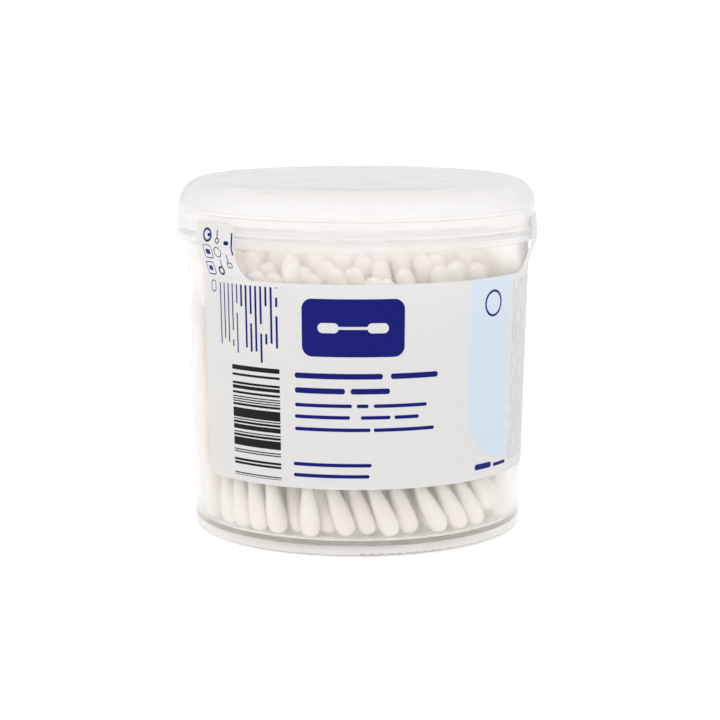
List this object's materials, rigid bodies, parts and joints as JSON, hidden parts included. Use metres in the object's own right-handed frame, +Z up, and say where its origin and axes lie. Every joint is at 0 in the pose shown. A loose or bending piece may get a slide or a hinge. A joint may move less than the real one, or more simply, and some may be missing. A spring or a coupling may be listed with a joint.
{
  "type": "cotton swab tub",
  "caption": "Round translucent plastic tub with a lift-off lid and a wrapped film label, full of standing cotton swabs.",
  "frame": {"origin": "centre of the tub's foot, on the surface that it stands on", "axes": "+Z up along the tub's axis, -Y towards the middle of the label's front, as the picture shows it"},
  "size_m": [0.0942, 0.094, 0.0911],
  "materials": {
    "tub_polypropylene": "injection-moulded natural polypropylene, clear to milky, lightly polished",
    "lid_polypropylene": "injection-moulded natural polypropylene, milky, satin outside",
    "label_film": null,
    "stick_paper": "tightly rolled white paper",
    "bud_cotton": "wound bleached cotton fibre, pressed round"
  },
  "bodies": {
    "tub": {"label": "label_film", "swab_buds_01": "bud_cotton", "swab_buds_02": "bud_cotton", "swab_buds_03": "bud_cotton", "swab_buds_04": "bud_cotton", "swab_buds_05": "bud_cotton", "swab_buds_06": "bud_cotton", "swab_buds_07": "bud_cotton", "swab_buds_08": "bud_cotton", "swab_buds_09": "bud_cotton", "swab_buds_10": "bud_cotton", "swab_buds_11": "bud_cotton", "swab_buds_12": "bud_cotton", "swab_buds_13": "bud_cotton", "swab_buds_14": "bud_cotton", "swab_buds_15": "bud_cotton", "swab_buds_16": "bud_cotton", "swab_buds_17": "bud_cotton", "swab_buds_18": "bud_cotton", "swab_buds_19": "bud_cotton", "swab_buds_20": "bud_cotton", "swab_sticks_01": "stick_paper", "swab_sticks_02": "stick_paper", "swab_sticks_03": "stick_paper", "swab_sticks_04": "stick_paper", "swab_sticks_05": "stick_paper", "swab_sticks_06": "stick_paper", "swab_sticks_07": "stick_paper", "swab_sticks_08": "stick_paper", "swab_sticks_09": "stick_paper", "swab_sticks_10": "stick_paper", "swab_sticks_11": "stick_paper", "swab_sticks_12": "stick_paper", "swab_sticks_13": "stick_paper", "swab_sticks_14": "stick_paper", "swab_sticks_15": "stick_paper", "swab_sticks_16": "stick_paper", "swab_sticks_17": "stick_paper", "swab_sticks_18": "stick_paper", "swab_sticks_19": "stick_paper", "swab_sticks_20": "stick_paper", "tub": "tub_polypropylene"},
    "lid": {"lid": "lid_polypropylene", "seal_tab_left": "label_film", "seal_tab_right": "label_film"}
  },
  "joints": [
    {"name": "lid_lift", "type": "slide", "parent": "tub", "child": "lid", "axis": [0, 0, 1], "range_m": [0, 0.04]}
  ]
}
